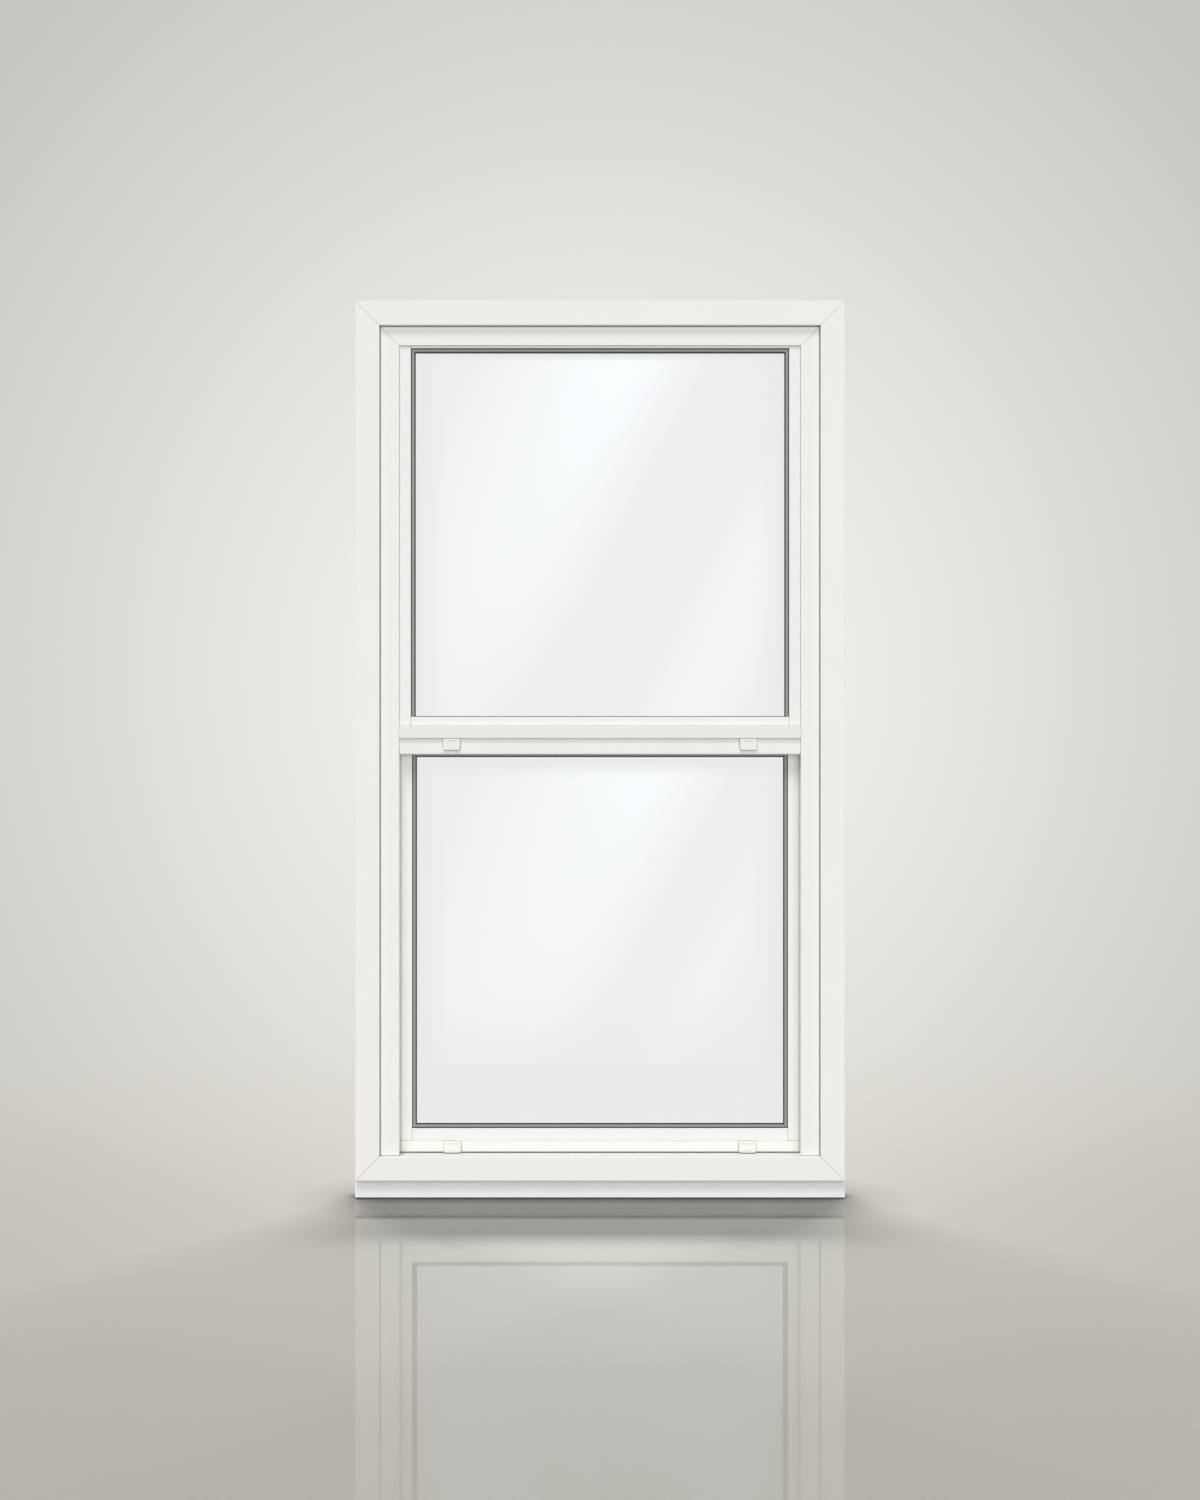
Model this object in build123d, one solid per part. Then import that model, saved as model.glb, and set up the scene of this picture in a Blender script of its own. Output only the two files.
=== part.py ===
from build123d import *
import os

# Two-track interior storm window in its own aluminium frame.
# Millimetres, +X to the right, +Y away from the room, +Z up, origin under the middle of the sill expander.

# Driving dimensions of the frame
FRAME_WIDTH = 810.0
FRAME_HEIGHT = 1456.0
EXPANDER_SHOW = 30.0
FACE_WIDTH = 40.0
FACE_STEP = 8.0
BAND_WIDTH = 32.0
FIN_REACH = 12.0
FRAME_WALL = 1.6
FACE_EASE = 1.2
FIN_EASE = 0.5
MITRE_GAP = 0.25
SHADOW_LINE = 1.5

# Driving dimensions of both sashes
LOWER_OPENING = 665.4
SASH_DEPTH = 12.0
SASH_WALL = 1.4
SASH_EASE = 0.6
STILE_FACE = 29.5
POCKET_DEPTH = 11.0
TOP_RAIL_HEIGHT = 28.0
TOP_RAIL_SHOW = 4.0
TOP_RAIL_COVER = 3.1
GLASS_THICKNESS = 3.2
SASH_TRAVEL = 650.0
VENT_STEPS = 3

# Clearances
TRACK_GAP = 1.2
SIDE_GAP = 1.5
RUN_GAP = 0.3
JOINT_GAP = 0.3
FIT_GAP = 0.1
FOOT_GAP = 2.0
VENT_GAP = 1.0
TAB_PASS = 2.2
EXPANDER_GAP = 0.4
CUT = 2.0

# Latch band, latch and spring
LATCH_BAND = 18.0
BAND_PROUD = 0.8
PORT_BOX = 10.0
TAB_INSET = 97.5
TAB_WIDTH = 28.4
TAB_PROUD = 6.2
TAB_DROP = 1.4
TAB_CORNER = 3.0
TAB_EASE = 0.9
TAB_DISH = 0.8
TAB_RIM = 3.2
NECK_LENGTH = 12.0
NECK_HEIGHT = 8.0
BAR_TAIL = 4.0
BAR_SKIN = 2.2
BAR_POCKETS = 3
LATCH_DRAW = 7.5
LATCH_LOCK = 3.5
GROOVE_WIDTH = 8.4
GROOVE_DEPTH = 7.0
NOSE_HEIGHT = 10.0
NOSE_CHAMFER = 1.5
TIP_GAP = 0.5
SPRING_LENGTH = 26.0
SPRING_STRIP = 0.5
SPRING_WIDTH = 6.0
SPRING_HEIGHT = 11.0
SPRING_BENDS = 2
STOP_LENGTH = 10.0

# Meeting rail of the upper sash
MEETING_FOOT = 8.6
MEETING_RISE = 8.8
LIP_HEIGHT = 21.0
LIP_PROUD = 7.0
LIP_LEAN = 2.2
LIP_EASE = 1.4
FOOT_EASE = 2.6

# Nosing on the top rail of the lower sash
NOSING_DROP = 8.0
NOSING_LEG = 1.6
NOSING_SETBACK = 6.5

# Gasket, pile and fasteners
GASKET_SHOW = 7.5
GASKET_NOTCH = 1.6
GASKET_PEEK = 1.2
GASKET_HEEL = 2.0
PILE_SLOT = 5.6
PILE_SLOT_DEPTH = 1.6
PILE_MOUTH = 3.0
PILE_INSET = 6.0
FOOT_PILE = 6.0
PORT_BORE = 3.6
PORT_WALL = 1.5
SCREW_CLEARANCE = 0.1
SCREW_HEAD = 6.4
SCREW_HEAD_HEIGHT = 2.2
SCREW_HEAD_SIDES = 6
SCREW_LENGTH = 24.0
SCREW_ACCESS = 7.0

# Sill, expander, corner keys and fixing holes
UPSTAND = 12.0
EXPANDER_EXTRA = 1.5
EXPANDER_WALL = 1.4
EXPANDER_TUCK = 24.0
EXPANDER_NOTCH = 3.0
KEY_ARM = 90.0
KEY_GAP = 0.2
FIXING_BORE = 5.2
FIXING_SPACING = 1000.0

# Levels and depths worked out from the driving dimensions
half_frame = FRAME_WIDTH / 2
frame_base = EXPANDER_SHOW
frame_top = frame_base + FRAME_HEIGHT
sill_top = frame_base + FACE_WIDTH
fin_tip = FACE_WIDTH + BAND_WIDTH
track_floor = fin_tip - FIN_REACH
groove_floor = track_floor - GROOVE_DEPTH
track_width = SASH_DEPTH + 2 * TRACK_GAP
divider = TAB_PROUD + TAB_PASS - 2 * TRACK_GAP
front_track = FACE_STEP + FRAME_WALL
divider_front = front_track + track_width
rear_track = divider_front + divider
rear_fin = rear_track + track_width
frame_depth = rear_fin + FRAME_WALL
front_y = -frame_depth / 2

sash_half = half_frame - track_floor - SIDE_GAP
daylight_half = sash_half - STILE_FACE
pocket_floor_half = daylight_half + POCKET_DEPTH
pocket_width = SASH_DEPTH - 2 * SASH_WALL
upper_y = front_y + front_track + TRACK_GAP
lower_y = front_y + rear_track + TRACK_GAP

lower_base = sill_top + FOOT_GAP
meeting_base = sill_top + LOWER_OPENING
lower_tip = meeting_base + TOP_RAIL_COVER
lower_top = lower_tip + TOP_RAIL_HEIGHT
upper_tip = frame_top - fin_tip - TOP_RAIL_SHOW
upper_top = upper_tip + TOP_RAIL_HEIGHT
meeting_band = meeting_base + MEETING_FOOT

tab_height = LATCH_BAND + TAB_DROP - JOINT_GAP
tab_x = sash_half - TAB_INSET
latch_centre = LATCH_BAND / 2
cavity_height = LATCH_BAND - 2 * SASH_WALL
nose_tip = half_frame - groove_floor - TIP_GAP
nose_depth = GROOVE_WIDTH - 2 * (RUN_GAP + JOINT_GAP)
bar_outer = sash_half - LATCH_LOCK - TIP_GAP
bar_inner = tab_x - NECK_LENGTH / 2 - BAR_TAIL
stop_face = bar_inner - SPRING_LENGTH
stop_depth = pocket_width - 2 * FIT_GAP
port_level = LATCH_BAND + (PORT_BOX - SASH_WALL) / 2
top_port = (TOP_RAIL_HEIGHT - POCKET_DEPTH) / 2


# Shared helpers
def plate(a0, a1, d0, d1):
    """Rectangle between two corners: across the face first, depth second."""
    return Pos((a0 + a1) / 2, (d0 + d1) / 2) * Rectangle(a1 - a0, d1 - d0)


def block(x0, x1, y0, y1, z0, z1):
    """Box between two corners."""
    size = Box(x1 - x0, y1 - y0, z1 - z0)
    return Pos((x0 + x1) / 2, (y0 + y1) / 2, (z0 + z1) / 2) * size


def ease(section, radius, *corners):
    """Round the section's vertices that lie nearest to the given corners."""
    for a, d in corners:
        nearest = min(section.vertices(), key=lambda v: abs(v.X - a) + abs(v.Y - d))
        section = fillet(nearest, radius)
    return section


def upright(section, x, y, z0, z1):
    """Extrude a section up Z, its first axis along +X."""
    return extrude(Pos(x, y, z0) * section, z1 - z0)


def across(section, y, z, half, rising=True):
    """Extrude a section along X, its first axis rising or falling from level z."""
    if rising:
        plane = Plane(origin=(half, y, z), x_dir=(0, 0, 1), z_dir=(-1, 0, 0))
    else:
        plane = Plane(origin=(-half, y, z), x_dir=(0, 0, -1), z_dir=(1, 0, 0))
    return extrude(plane * section, 2 * half)


def elevation(points):
    """Prism through the whole depth of the window with the given outline in X and Z."""
    outline = make_face(Polyline(*points, close=True))
    return extrude(Plane.XZ * outline, frame_depth, both=True)


def flipped(shape):
    """Mirror image in the window's middle plane."""
    return mirror(shape, about=Plane.YZ)


def bore_x(diameter, x0, x1, y, z):
    """Cylinder along X between two places."""
    plane = Plane(origin=(x0, y, z), z_dir=(1, 0, 0))
    return extrude(plane * Circle(diameter / 2), x1 - x0)


# Frame
def frame_section(floor):
    """Hollow stepped section shared by head and jambs, with a channel floor at the given reach."""
    section = plate(0, FACE_WIDTH, 0, frame_depth)
    section += plate(0, fin_tip, FACE_STEP, front_track)
    section += plate(0, fin_tip, divider_front, rear_track)
    section += plate(0, fin_tip, rear_fin, frame_depth)
    section += plate(0, floor, FACE_STEP, frame_depth)
    inner = FACE_WIDTH - FRAME_WALL
    section -= plate(FRAME_WALL, inner, FRAME_WALL, FACE_STEP)
    section -= plate(FRAME_WALL, inner, front_track, rear_fin)
    section -= plate(floor, fin_tip - FRAME_WALL, divider_front + FRAME_WALL, rear_track - FRAME_WALL)
    return section


def finish_front(section):
    """Cut a shadow line along the foot of the step and soften the edges that face the room."""
    line = FACE_WIDTH + SHADOW_LINE
    section += plate(FACE_WIDTH - FRAME_WALL, line + FRAME_WALL, front_track, front_track + FRAME_WALL)
    section -= plate(FACE_WIDTH, line, FACE_STEP, front_track)
    section = ease(section, FACE_EASE, (0, 0), (FACE_WIDTH, 0))
    return ease(section, FIN_EASE, (fin_tip, FACE_STEP))


def jamb_section():
    """Frame section with a second chamber and a latch groove in the floor of each track."""
    section = frame_section(track_floor)
    section -= plate(FACE_WIDTH, track_floor - FRAME_WALL, front_track, rear_fin)
    for track in (front_track, rear_track):
        low = track + (track_width - GROOVE_WIDTH) / 2
        high = low + GROOVE_WIDTH
        section += plate(groove_floor - FRAME_WALL, track_floor, low - FRAME_WALL, high + FRAME_WALL)
        section -= plate(groove_floor, track_floor, low, high)
    return finish_front(section)


def track_middle(track):
    """Depth of a track's middle plane."""
    return front_y + track + track_width / 2


def vent_holes(track, level, step):
    """Punched slots in a groove floor, one for each place where a latch can lock."""
    middle = track_middle(track)
    reach = nose_depth / 2 + RUN_GAP
    tall = NOSE_HEIGHT / 2 + VENT_GAP
    x0 = -half_frame + groove_floor - FRAME_WALL
    x1 = -half_frame + groove_floor
    slots = []
    for index in range(VENT_STEPS + 1):
        z = level + step * index / VENT_STEPS
        slots.append(block(x0 - CUT, x1 + CUT, middle - reach, middle + reach, z - tall, z + tall))
    return slots


def left_jamb():
    jamb = upright(jamb_section(), -half_frame, front_y, frame_base, frame_top)
    outer, corner, tip = -half_frame, -half_frame + FACE_WIDTH, -half_frame + fin_tip
    jamb &= elevation([
        (outer, frame_base + MITRE_GAP),
        (corner, sill_top + MITRE_GAP),
        (tip, sill_top + MITRE_GAP),
        (tip, frame_top - fin_tip - MITRE_GAP),
        (outer, frame_top - MITRE_GAP),
    ])
    for slot in vent_holes(front_track, meeting_band + latch_centre, -SASH_TRAVEL):
        jamb -= slot
    for slot in vent_holes(rear_track, lower_base + latch_centre, SASH_TRAVEL):
        jamb -= slot
    middle = frame_base + FRAME_HEIGHT / 2
    for z in (middle - FIXING_SPACING / 2, middle + FIXING_SPACING / 2):
        jamb -= bore_x(FIXING_BORE, outer - CUT, outer + track_floor, track_middle(front_track), z)
    return jamb


def head():
    section = finish_front(frame_section(FACE_WIDTH))
    bar = across(section, front_y, frame_top, half_frame, rising=False)
    outer, tip = half_frame - MITRE_GAP, half_frame - fin_tip - MITRE_GAP
    return bar & elevation([
        (-outer, frame_top),
        (outer, frame_top),
        (tip, frame_top - fin_tip),
        (-tip, frame_top - fin_tip),
    ])


def sill():
    section = plate(0, FACE_WIDTH, 0, front_track)
    section += plate(FACE_WIDTH - FRAME_WALL, FACE_WIDTH, 0, frame_depth)
    section += plate(0, FACE_WIDTH + UPSTAND, rear_fin, frame_depth)
    section -= plate(FRAME_WALL, FACE_WIDTH - FRAME_WALL, FRAME_WALL, FACE_STEP)
    section = ease(section, FACE_EASE, (0, 0), (FACE_WIDTH, 0))
    bar = across(section, front_y, frame_base, half_frame)
    outer = half_frame - MITRE_GAP
    corner = outer - FACE_WIDTH
    stop = outer - fin_tip
    return bar & elevation([
        (-outer, frame_base),
        (outer, frame_base),
        (corner, sill_top),
        (stop, sill_top),
        (stop, sill_top + UPSTAND),
        (-stop, sill_top + UPSTAND),
        (-stop, sill_top),
        (-corner, sill_top),
    ])


def corner_key(corner_z, up):
    """L-shaped plate inside the left corner of the face, its arms along both members."""
    near = FRAME_WALL + KEY_GAP
    far = FACE_WIDTH - FRAME_WALL - KEY_GAP
    outline = [(near, near), (KEY_ARM, near), (KEY_ARM, far), (far, far), (far, KEY_ARM), (near, KEY_ARM)]
    points = [(-half_frame + a, corner_z + up * b) for a, b in outline]
    depth0 = front_y + FRAME_WALL + KEY_GAP
    depth1 = front_y + FACE_STEP - KEY_GAP
    slab = block(-half_frame, half_frame, depth0, depth1, 0, frame_top)
    return elevation(points) & slab


def corner_keys():
    left = [corner_key(frame_top, -1), corner_key(frame_base, 1)]
    return left + [flipped(key) for key in left]


def sill_expander():
    """Channel, open upwards, that slides between the front box and the back wall of the sill."""
    front = front_track + EXPANDER_GAP
    back = rear_fin - EXPANDER_GAP
    height = EXPANDER_SHOW + EXPANDER_TUCK
    section = plate(0, height, front, back)
    section -= plate(EXPANDER_WALL, height, front + EXPANDER_WALL, back - EXPANDER_WALL)
    section = ease(section, EXPANDER_WALL, (0, front), (0, back))
    long = half_frame + EXPANDER_EXTRA
    short = half_frame - FACE_WIDTH - EXPANDER_NOTCH
    channel = across(section, front_y, 0, long)
    return channel & elevation([
        (-long, 0),
        (long, 0),
        (long, frame_base - EXPANDER_GAP),
        (short, frame_base - EXPANDER_GAP),
        (short, height),
        (-short, height),
        (-short, frame_base - EXPANDER_GAP),
        (-long, frame_base - EXPANDER_GAP),
    ])


# Sash members
def stile_section():
    """Hollow stile with a glazing pocket towards the glass and a pile slot in its back."""
    pocket = STILE_FACE - POCKET_DEPTH
    back = SASH_DEPTH - SASH_WALL
    section = plate(0, STILE_FACE, 0, SASH_DEPTH)
    section -= plate(pocket, STILE_FACE, SASH_WALL, back)
    section -= plate(SASH_WALL, pocket - SASH_WALL, SASH_WALL, back)
    half_slot, half_mouth = PILE_SLOT / 2, PILE_MOUTH / 2
    slot_floor = back - PILE_SLOT_DEPTH
    low, high = PILE_INSET - half_slot, PILE_INSET + half_slot
    section += plate(low - SASH_WALL, high + SASH_WALL, slot_floor - SASH_WALL, SASH_DEPTH)
    section -= plate(low, high, slot_floor, back)
    section -= plate(PILE_INSET - half_mouth, PILE_INSET + half_mouth, slot_floor, SASH_DEPTH)
    return ease(section, SASH_EASE, (STILE_FACE, 0), (STILE_FACE, SASH_DEPTH))


def left_stile(y, z0, z1, ports):
    """Left stile from z0 to z1, with a screw hole and a driver hole at each port level."""
    stile = upright(stile_section(), -sash_half, y, z0, z1)
    middle = y + SASH_DEPTH / 2
    seat = -pocket_floor_half - SASH_WALL
    for z in ports:
        stile -= bore_x(SCREW_ACCESS, -sash_half - CUT, -sash_half + SASH_WALL, middle, z)
        stile -= bore_x(PORT_BORE + FIT_GAP, seat - CUT, -pocket_floor_half + CUT, middle, z)
    return stile


def screw_port(section, level, low, high):
    """Hollow out a chamber between two levels and keep a web with a screw port in its middle."""
    middle = SASH_DEPTH / 2
    chamber = plate(low, high, SASH_WALL, SASH_DEPTH - SASH_WALL)
    web = plate(level - PORT_WALL / 2, level + PORT_WALL / 2, SASH_WALL, SASH_DEPTH - SASH_WALL)
    ring = Pos(level, middle) * Circle(PORT_BORE / 2 + PORT_WALL)
    chamber -= web + ring
    section -= chamber
    return section - Pos(level, middle) * Circle(PORT_BORE / 2)


def tenon_cuts(y, z0, z1, front):
    """Blocks that trim a rail's faces at both ends so that its core enters the stiles' pockets."""
    inner = daylight_half - JOINT_GAP
    core = SASH_WALL + FIT_GAP
    right = [
        block(inner, sash_half + CUT, y + front, y + core, z0, z1),
        block(inner, sash_half + CUT, y + SASH_DEPTH - core, y + SASH_DEPTH + CUT, z0, z1),
        block(pocket_floor_half - FIT_GAP, sash_half + CUT, y + front, y + SASH_DEPTH + CUT, z0, z1),
    ]
    return right + [flipped(cut) for cut in right]


def top_rail(y, tip, nosing):
    """Rail between the stiles, glazing pocket downwards, with a sealing nosing if asked for."""
    pocket = TOP_RAIL_HEIGHT - POCKET_DEPTH
    section = plate(0, TOP_RAIL_HEIGHT, 0, SASH_DEPTH)
    section -= plate(pocket, TOP_RAIL_HEIGHT, SASH_WALL, SASH_DEPTH - SASH_WALL)
    section = screw_port(section, top_port, SASH_WALL, pocket - SASH_WALL)
    section = ease(section, SASH_EASE, (TOP_RAIL_HEIGHT, 0), (TOP_RAIL_HEIGHT, SASH_DEPTH))
    top = tip + TOP_RAIL_HEIGHT
    rail = across(section, y, top, sash_half, rising=False)
    for cut in tenon_cuts(y, tip - CUT, top + CUT, -CUT):
        rail -= cut
    if nosing:
        leg = plate(top_port, top_port + NOSING_LEG, -NOSING_SETBACK, SASH_WALL)
        leg += plate(top_port, top_port + NOSING_DROP, -NOSING_SETBACK, NOSING_LEG - NOSING_SETBACK)
        rail += across(leg, y, top, daylight_half - JOINT_GAP, rising=False)
    return rail


def latch_slot(y, base):
    """Opening in the right half of a bottom rail's front wall that the latch's neck slides in."""
    reach = NECK_LENGTH / 2 + RUN_GAP
    tall = NECK_HEIGHT / 2 + RUN_GAP
    z = base + latch_centre
    x0, x1 = tab_x - reach - LATCH_DRAW, tab_x + reach + LATCH_LOCK
    return block(x0, x1, y - BAND_PROUD - CUT, y + SASH_WALL + CUT, z - tall, z + tall)


def lip_outline(low, wall):
    """Outline of the pull lip above level low, its face leaning in towards the foot, shrunk by a wall."""
    bottom, top = low + wall, low + LIP_HEIGHT - wall
    points = [(bottom, 0), (bottom, LIP_LEAN - LIP_PROUD + wall), (top, wall - LIP_PROUD), (top, 0)]
    return make_face(Polyline(*points, close=True))


def bottom_rail(y, base, foot, rise, cover, lip):
    """Rail with a latch tube under a glazing pocket.

    foot and rise are chambers below and above the latch tube, cover lengthens the front leg of the
    pocket over the gasket, and lip adds the proud pull.
    """
    tube = foot + LATCH_BAND
    shoulder = tube + rise
    pocket = shoulder + PORT_BOX
    leg = pocket + POCKET_DEPTH
    back = SASH_DEPTH - SASH_WALL
    section = plate(0, leg, 0, SASH_DEPTH)
    section += plate(0, leg + cover, 0, SASH_WALL)
    band = plate(0, tube, -BAND_PROUD, 0)
    section += band if lip else ease(band, BAND_PROUD / 2, (tube, -BAND_PROUD))
    section -= plate(pocket, leg, SASH_WALL, back)
    section -= plate(foot + SASH_WALL, tube - SASH_WALL, SASH_WALL, back)
    if foot:
        section -= plate(SASH_WALL, foot, SASH_WALL, back)
    if rise:
        section -= plate(tube, shoulder - SASH_WALL, SASH_WALL, back)
    section = screw_port(section, shoulder + (PORT_BOX - SASH_WALL) / 2, shoulder, pocket - SASH_WALL)
    section = ease(section, SASH_EASE, (leg + cover, 0), (leg, SASH_DEPTH))
    if lip:
        edges = [(tube, LIP_LEAN - LIP_PROUD), (tube + LIP_HEIGHT, -LIP_PROUD)]
        section += ease(lip_outline(tube, 0), LIP_EASE, *edges)
        section -= lip_outline(tube, SASH_WALL)
        section = ease(section, FOOT_EASE, (0, -BAND_PROUD))
    rail = across(section, y, base, sash_half)
    for cut in tenon_cuts(y, base + shoulder, base + leg + cover + CUT, -FIT_GAP):
        rail -= cut
    if lip:
        end = half_frame - fin_tip - RUN_GAP
        low, high = base + tube, base + tube + LIP_HEIGHT + CUT
        bare = block(end, sash_half + CUT, y - LIP_PROUD - CUT, y, low, high)
        rail -= bare
        rail -= flipped(bare)
    slot = latch_slot(y, base + foot)
    rail -= slot
    return rail - flipped(slot)


# Glazing
def glass(y, low, high):
    """Pane standing on the gasket's heel on all four sides; low and high are the pocket floors."""
    heel = GASKET_HEEL + 2 * FIT_GAP
    half = pocket_floor_half - heel
    depth0 = y + (SASH_DEPTH - GLASS_THICKNESS) / 2
    return block(-half, half, depth0, depth0 + GLASS_THICKNESS, low + heel, high - heel)


def gasket_section():
    """U-shaped section round the pane's edge, with a notch and a convex bead on each show side."""
    front = SASH_WALL + FIT_GAP
    face = (SASH_DEPTH - GLASS_THICKNESS) / 2 - FIT_GAP
    heel = FIT_GAP + GASKET_HEEL
    tip = POCKET_DEPTH + GASKET_SHOW
    notch = front + GASKET_NOTCH
    outline = Polyline((FIT_GAP, front), (POCKET_DEPTH, front), (POCKET_DEPTH, notch))
    outline += ThreePointArc((POCKET_DEPTH, notch), (POCKET_DEPTH + GASKET_SHOW / 2, front), (tip, face))
    outline += Polyline((tip, face), (heel, face), (heel, SASH_DEPTH / 2))
    outline += Polyline((heel, SASH_DEPTH / 2), (FIT_GAP, SASH_DEPTH / 2), (FIT_GAP, front))
    half = make_face(outline)
    other = mirror(half, about=Plane.XZ.offset(-SASH_DEPTH / 2))
    return half + other


def gasket(y, low, high):
    """Gasket round the pane, mitred at the corners and joined into one ring."""
    section = gasket_section()
    half = pocket_floor_half
    reach = POCKET_DEPTH + GASKET_SHOW + CUT
    inner, floor, ceiling = half - reach, low + reach, high - reach
    left = upright(section, -half, y, low, high)
    left &= elevation([(-half, low), (-inner, floor), (-inner, ceiling), (-half, high)])
    bottom = across(section, y, low, half)
    bottom &= elevation([(-half, low), (half, low), (inner, floor), (-inner, floor)])
    top = across(section, y, high, half, rising=False)
    top &= elevation([(-half, high), (half, high), (inner, ceiling), (-inner, ceiling)])
    return left + bottom + flipped(left) + top


# Weatherstrip and screws
def stile_pile(y, z0, z1):
    """Pile strip in the left stile's back slot, its tip just short of the track fin."""
    back = SASH_DEPTH - SASH_WALL
    half_base = PILE_SLOT / 2 - FIT_GAP
    half_tip = PILE_MOUTH / 2 - FIT_GAP
    base_floor = back - PILE_SLOT_DEPTH + FIT_GAP
    section = plate(PILE_INSET - half_base, PILE_INSET + half_base, base_floor, back - FIT_GAP)
    reach = SASH_DEPTH + TRACK_GAP - RUN_GAP
    section += plate(PILE_INSET - half_tip, PILE_INSET + half_tip, base_floor, reach)
    return upright(section, -sash_half, y, z0, z1)


def meeting_pile():
    """Strip on the nosing that closes the gap to the back of the upper sash."""
    front = upper_y + SASH_DEPTH + RUN_GAP
    seat = lower_y - NOSING_SETBACK
    high = lower_top - top_port - NOSING_LEG
    low = lower_top - top_port - NOSING_DROP
    half = daylight_half - JOINT_GAP
    return block(-half, half, front, seat, low, high)


def foot_pile():
    """Strip under the lower sash, just off the sill."""
    middle = lower_y + SASH_DEPTH / 2
    half = sash_half - TAB_INSET / 2
    low, high = middle - FOOT_PILE / 2, middle + FOOT_PILE / 2
    return block(-half, half, low, high, sill_top + RUN_GAP, lower_base)


def corner_screw(y, z):
    """Hexagon-head screw through the left stile's inner wall into a rail's port."""
    middle = y + SASH_DEPTH / 2
    seat = -pocket_floor_half - SASH_WALL
    plane = Plane(origin=(seat - SCREW_HEAD_HEIGHT, middle, z), z_dir=(1, 0, 0))
    screw = extrude(plane * RegularPolygon(SCREW_HEAD / 2, SCREW_HEAD_SIDES), SCREW_HEAD_HEIGHT)
    return screw + bore_x(PORT_BORE - 2 * SCREW_CLEARANCE, seat, seat + SCREW_LENGTH, middle, z)


# Latch, spring and stop of the right half of a rail
def latch(y, base):
    """Moulded slide bolt with a finger tab in front of the rail and a nose in the jamb's groove."""
    z = base + latch_centre
    front = y + SASH_WALL + RUN_GAP
    back = y + SASH_DEPTH - SASH_WALL - RUN_GAP
    half_bar = cavity_height / 2 - RUN_GAP
    bar = block(bar_inner, bar_outer, front, back, z - half_bar, z + half_bar)
    room = (bar_outer - tab_x - NECK_LENGTH / 2) / BAR_POCKETS
    for index in range(BAR_POCKETS):
        x0 = tab_x + NECK_LENGTH / 2 + room * index
        inner = half_bar - BAR_SKIN
        bar -= block(x0, x0 + room - BAR_SKIN, front + BAR_SKIN, back + CUT, z - inner, z + inner)
    middle = y + SASH_DEPTH / 2
    half_nose = nose_depth / 2
    tall = NOSE_HEIGHT / 2
    nose = block(bar_outer - BAR_SKIN, nose_tip, middle - half_nose, middle + half_nose, z - tall, z + tall)
    tip_edges = nose.faces().sort_by(Axis.X)[-1].edges().filter_by(Axis.Y)
    nose = chamfer(tip_edges, NOSE_CHAMFER)
    half_neck = NECK_LENGTH / 2
    neck_tall = NECK_HEIGHT / 2
    tab_back = y - BAND_PROUD - RUN_GAP
    neck = block(tab_x - half_neck, tab_x + half_neck, tab_back, front, z - neck_tall, z + neck_tall)
    return bar + nose + neck + finger_tab(tab_back, base + LATCH_BAND - JOINT_GAP - tab_height / 2)


def finger_tab(back, z):
    """Tab with rounded lower corners, bevelled edges and a shallow finger dish."""
    thick = TAB_PROUD - BAND_PROUD - RUN_GAP
    half = TAB_WIDTH / 2
    tall = tab_height / 2
    outline = plate(-half, half, -tall, tall)
    outline = ease(outline, TAB_CORNER, (-half, -tall), (half, -tall))
    plane = Plane(origin=(tab_x, back, z), x_dir=(1, 0, 0), z_dir=(0, -1, 0))
    tab = extrude(plane * outline, thick)
    tab = chamfer(tab.faces().sort_by(Axis.Y)[0].edges(), TAB_EASE)
    dish_half = half - TAB_RIM
    dish_radius = (dish_half**2 + TAB_DISH**2) / (2 * TAB_DISH)
    centre = back - thick + TAB_DISH - dish_radius
    dish_plane = Plane(origin=(tab_x, centre, z - tall + TAB_RIM), z_dir=(0, 0, 1))
    return tab - extrude(dish_plane * Circle(dish_radius), tab_height - 2 * TAB_RIM)


def spring_stop(y, base):
    """Block pressed into the latch tube behind the spring."""
    z = base + latch_centre
    half = cavity_height / 2 - FIT_GAP
    middle = y + SASH_DEPTH / 2
    reach = stop_depth / 2
    return block(stop_face - STOP_LENGTH, stop_face, middle - reach, middle + reach, z - half, z + half)


def latch_spring(y, base):
    """Zigzag strip spring between the stop and the latch's inner end."""
    z = base + latch_centre
    first = stop_face + FIT_GAP + SPRING_STRIP / 2
    last = bar_inner - FIT_GAP - SPRING_STRIP / 2
    pitch = (last - first) / SPRING_BENDS
    swing = SPRING_HEIGHT / 2
    points = [(first, -swing), (first, swing)]
    side = swing
    for index in range(1, SPRING_BENDS + 1):
        side = -side
        points.append((first + pitch * index, side))
    points.append((last, -side))
    strip = trace(FilletPolyline(*points, radius=SPRING_STRIP), SPRING_STRIP)
    middle = y + SASH_DEPTH / 2
    plane = Plane(origin=(0, middle + SPRING_WIDTH / 2, z), x_dir=(1, 0, 0), z_dir=(0, -1, 0))
    return extrude(plane * strip, SPRING_WIDTH)


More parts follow.
